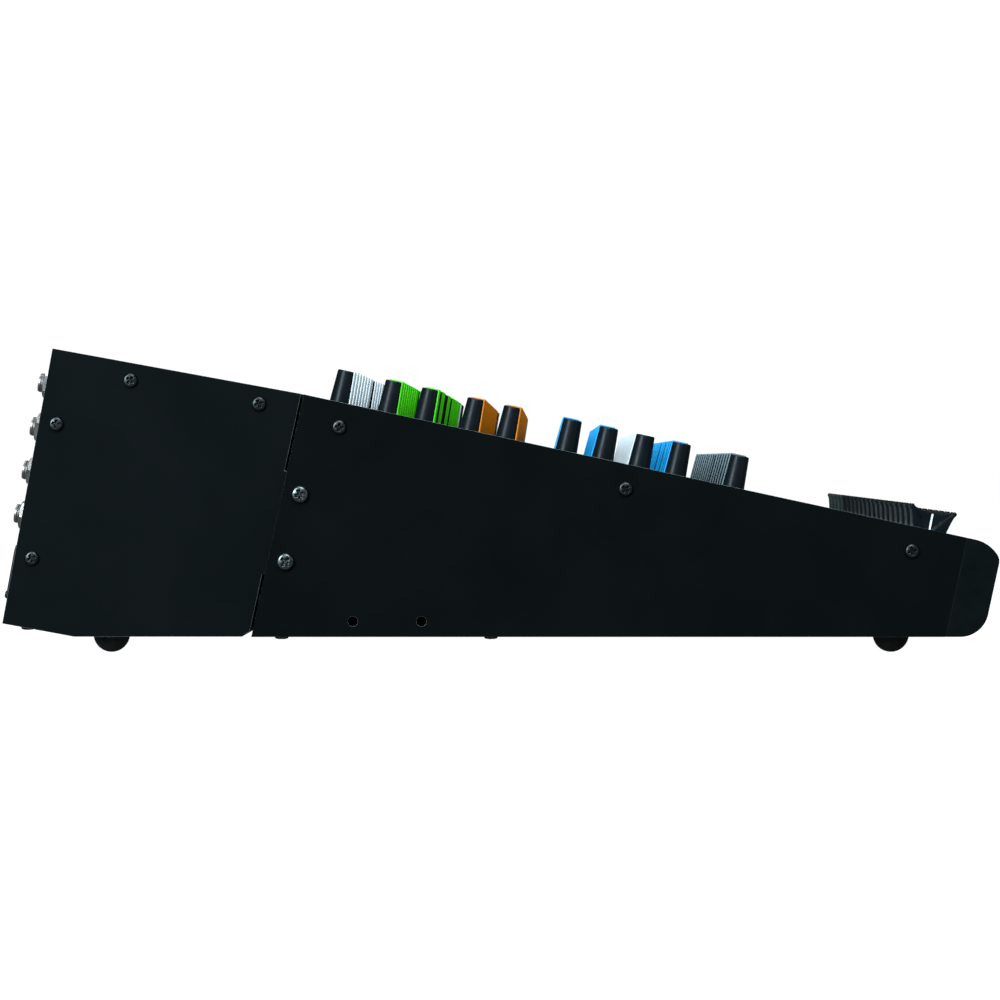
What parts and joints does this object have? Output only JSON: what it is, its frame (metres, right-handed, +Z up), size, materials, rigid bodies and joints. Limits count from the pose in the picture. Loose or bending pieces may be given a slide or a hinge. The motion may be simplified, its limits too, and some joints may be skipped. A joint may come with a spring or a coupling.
{
  "type": "mixing console",
  "caption": "Compact wedge-shaped analogue mixing console with rotary knobs, slide faders and a rear connector pod.",
  "frame": {"origin": "centre of the footprint on the table plane under the rubber feet", "axes": "+X to the operator's right, +Y to the rear connectors, +Z up"},
  "size_m": [0.4452, 0.4542, 0.1399],
  "materials": {
    "case_steel": "black powder coat, satin",
    "deck_steel": "dark grey powder coat, fine texture",
    "nose_plastic": "moulded, fine texture",
    "foot_rubber": "soft matte",
    "screw_black": "black zinc",
    "bolt_steel": "dark nickel",
    "board_green": "solder resist",
    "inner_metal": "plain",
    "ribbon_grey": "flexible",
    "knob_black": "satin",
    "cap_black": "satin",
    "cap_grey": "satin",
    "button_grey": "satin",
    "jack_plastic": "satin",
    "nut_nickel": "nickel plate",
    "meter_window": "tinted, glossy",
    "rocker_red": "glossy"
  },
  "bodies": {
    "housing": {"left_cheek": "case_steel", "right_cheek": "case_steel", "deck_panel": "deck_steel", "base_plate": "case_steel", "front_nose": "nose_plastic", "pod_left_plate": "case_steel", "pod_right_plate": "case_steel", "jack_panel": "case_steel", "pod_base": "case_steel", "cable_cover": "case_steel", "rubber_feet": "foot_rubber", "case_screws": "screw_black", "pod_bolts": "bolt_steel", "main_board": "board_green", "jack_board": "board_green", "power_unit": "inner_metal", "ribbon_cables": "ribbon_grey", "slide_pots": "inner_metal", "rotary_pots": "inner_metal", "panel_knobs": "knob_black", "panel_buttons": "button_grey", "phone_jacks": "jack_plastic", "jack_nuts": "nut_nickel", "xlr_sockets": "jack_plastic", "rca_sockets": "nut_nickel", "mains_inlet": "jack_plastic", "level_meter": "meter_window"},
    "fader_cap_1": {"fader_cap_1": "cap_black"},
    "fader_cap_2": {"fader_cap_2": "cap_black"},
    "fader_cap_3": {"fader_cap_3": "cap_black"},
    "fader_cap_4": {"fader_cap_4": "cap_black"},
    "fader_cap_5": {"fader_cap_5": "cap_black"},
    "fader_cap_6": {"fader_cap_6": "cap_black"},
    "fader_cap_7": {"fader_cap_7": "cap_black"},
    "fader_cap_8": {"fader_cap_8": "cap_black"},
    "fader_cap_9": {"fader_cap_9": "cap_black"},
    "fader_cap_10": {"fader_cap_10": "cap_black"},
    "fader_cap_11": {"fader_cap_11": "cap_black"},
    "fader_cap_12": {"fader_cap_12": "cap_black"},
    "fader_cap_13": {"fader_cap_13": "cap_black"},
    "fader_cap_14": {"fader_cap_14": "cap_black"},
    "fader_cap_15": {"fader_cap_15": "cap_black"},
    "fader_cap_16": {"fader_cap_16": "cap_black"},
    "group_cap_1": {"group_cap_1": "cap_grey"},
    "group_cap_2": {"group_cap_2": "cap_grey"},
    "group_cap_3": {"group_cap_3": "cap_grey"},
    "main_cap": {"main_cap": "cap_grey"},
    "trim_knob": {"trim_knob": "knob_black"},
    "aux_1_knob": {"aux_1_knob": "knob_black"},
    "aux_2_knob": {"aux_2_knob": "knob_black"},
    "aux_3_knob": {"aux_3_knob": "knob_black"},
    "aux_4_knob": {"aux_4_knob": "knob_black"},
    "treble_knob": {"treble_knob": "knob_black"},
    "middle_knob": {"middle_knob": "knob_black"},
    "sweep_knob": {"sweep_knob": "knob_black"},
    "bass_knob": {"bass_knob": "knob_black"},
    "pan_knob": {"pan_knob": "knob_black"},
    "low_cut_button": {"low_cut_button": "button_grey"},
    "mute_button": {"mute_button": "button_grey"},
    "power_rocker": {"power_rocker": "rocker_red"}
  },
  "joints": [
    {"name": "fader_cap_1_slide", "type": "slide", "parent": "housing", "child": "fader_cap_1", "axis": [0, 0.9774, 0.2113], "range_m": [0, 0.06]},
    {"name": "fader_cap_2_slide", "type": "slide", "parent": "housing", "child": "fader_cap_2", "axis": [0, 0.9774, 0.2113], "range_m": [0, 0.06]},
    {"name": "fader_cap_3_slide", "type": "slide", "parent": "housing", "child": "fader_cap_3", "axis": [0, 0.9774, 0.2113], "range_m": [0, 0.06]},
    {"name": "fader_cap_4_slide", "type": "slide", "parent": "housing", "child": "fader_cap_4", "axis": [0, 0.9774, 0.2113], "range_m": [0, 0.06]},
    {"name": "fader_cap_5_slide", "type": "slide", "parent": "housing", "child": "fader_cap_5", "axis": [0, 0.9774, 0.2113], "range_m": [0, 0.06]},
    {"name": "fader_cap_6_slide", "type": "slide", "parent": "housing", "child": "fader_cap_6", "axis": [0, 0.9774, 0.2113], "range_m": [0, 0.06]},
    {"name": "fader_cap_7_slide", "type": "slide", "parent": "housing", "child": "fader_cap_7", "axis": [0, 0.9774, 0.2113], "range_m": [0, 0.06]},
    {"name": "fader_cap_8_slide", "type": "slide", "parent": "housing", "child": "fader_cap_8", "axis": [0, 0.9774, 0.2113], "range_m": [0, 0.06]},
    {"name": "fader_cap_9_slide", "type": "slide", "parent": "housing", "child": "fader_cap_9", "axis": [0, 0.9774, 0.2113], "range_m": [0, 0.06]},
    {"name": "fader_cap_10_slide", "type": "slide", "parent": "housing", "child": "fader_cap_10", "axis": [0, 0.9774, 0.2113], "range_m": [0, 0.06]},
    {"name": "fader_cap_11_slide", "type": "slide", "parent": "housing", "child": "fader_cap_11", "axis": [0, 0.9774, 0.2113], "range_m": [0, 0.06]},
    {"name": "fader_cap_12_slide", "type": "slide", "parent": "housing", "child": "fader_cap_12", "axis": [0, 0.9774, 0.2113], "range_m": [0, 0.06]},
    {"name": "fader_cap_13_slide", "type": "slide", "parent": "housing", "child": "fader_cap_13", "axis": [0, 0.9774, 0.2113], "range_m": [0, 0.06]},
    {"name": "fader_cap_14_slide", "type": "slide", "parent": "housing", "child": "fader_cap_14", "axis": [0, 0.9774, 0.2113], "range_m": [0, 0.06]},
    {"name": "fader_cap_15_slide", "type": "slide", "parent": "housing", "child": "fader_cap_15", "axis": [0, 0.9774, 0.2113], "range_m": [0, 0.06]},
    {"name": "fader_cap_16_slide", "type": "slide", "parent": "housing", "child": "fader_cap_16", "axis": [0, 0.9774, 0.2113], "range_m": [0, 0.06]},
    {"name": "group_cap_1_slide", "type": "slide", "parent": "housing", "child": "group_cap_1", "axis": [0, 0.9774, 0.2113], "range_m": [0, 0.06]},
    {"name": "group_cap_2_slide", "type": "slide", "parent": "housing", "child": "group_cap_2", "axis": [0, 0.9774, 0.2113], "range_m": [0, 0.06]},
    {"name": "group_cap_3_slide", "type": "slide", "parent": "housing", "child": "group_cap_3", "axis": [0, 0.9774, 0.2113], "range_m": [0, 0.06]},
    {"name": "main_cap_slide", "type": "slide", "parent": "housing", "child": "main_cap", "axis": [0, 0.9774, 0.2113], "range_m": [0, 0.06]},
    {"name": "trim_knob_turn", "type": "hinge", "parent": "housing", "child": "trim_knob", "pos_m": [-0.203, 0.07389, 0.11548], "axis": [0, 0.2113, -0.9774], "range_deg": [0, 300]},
    {"name": "aux_1_knob_turn", "type": "hinge", "parent": "housing", "child": "aux_1_knob", "pos_m": [-0.203, 0.05189, 0.11072], "axis": [0, 0.2113, -0.9774], "range_deg": [0, 300]},
    {"name": "aux_2_knob_turn", "type": "hinge", "parent": "housing", "child": "aux_2_knob", "pos_m": [-0.203, 0.03513, 0.1071], "axis": [0, 0.2113, -0.9774], "range_deg": [0, 300]},
    {"name": "aux_3_knob_turn", "type": "hinge", "parent": "housing", "child": "aux_3_knob", "pos_m": [-0.203, 0.01417, 0.10256], "axis": [0, 0.2113, -0.9774], "range_deg": [0, 300]},
    {"name": "aux_4_knob_turn", "type": "hinge", "parent": "housing", "child": "aux_4_knob", "pos_m": [-0.203, -0.0026, 0.09894], "axis": [0, 0.2113, -0.9774], "range_deg": [0, 300]},
    {"name": "treble_knob_turn", "type": "hinge", "parent": "housing", "child": "treble_knob", "pos_m": [-0.203, -0.02992, 0.09303], "axis": [0, 0.2113, -0.9774], "range_deg": [-150, 150]},
    {"name": "middle_knob_turn", "type": "hinge", "parent": "housing", "child": "middle_knob", "pos_m": [-0.203, -0.04668, 0.08941], "axis": [0, 0.2113, -0.9774], "range_deg": [-150, 150]},
    {"name": "sweep_knob_turn", "type": "hinge", "parent": "housing", "child": "sweep_knob", "pos_m": [-0.203, -0.06344, 0.08579], "axis": [0, 0.2113, -0.9774], "range_deg": [-150, 150]},
    {"name": "bass_knob_turn", "type": "hinge", "parent": "housing", "child": "bass_knob", "pos_m": [-0.203, -0.0802, 0.08216], "axis": [0, 0.2113, -0.9774], "range_deg": [-150, 150]},
    {"name": "pan_knob_turn", "type": "hinge", "parent": "housing", "child": "pan_knob", "pos_m": [-0.203, -0.10694, 0.07638], "axis": [0, 0.2113, -0.9774], "range_deg": [-150, 150]},
    {"name": "low_cut_button_press", "type": "slide", "parent": "housing", "child": "low_cut_button", "axis": [0, 0.2113, -0.9774], "range_m": [0, 0.0015]},
    {"name": "mute_button_press", "type": "slide", "parent": "housing", "child": "mute_button", "axis": [0, 0.2113, -0.9774], "range_m": [0, 0.0015]},
    {"name": "power_rocker_tilt", "type": "hinge", "parent": "housing", "child": "power_rocker", "pos_m": [0.184, 0.21303, 0.08047], "axis": [1, 0, 0], "range_deg": [-12, 0]}
  ]
}
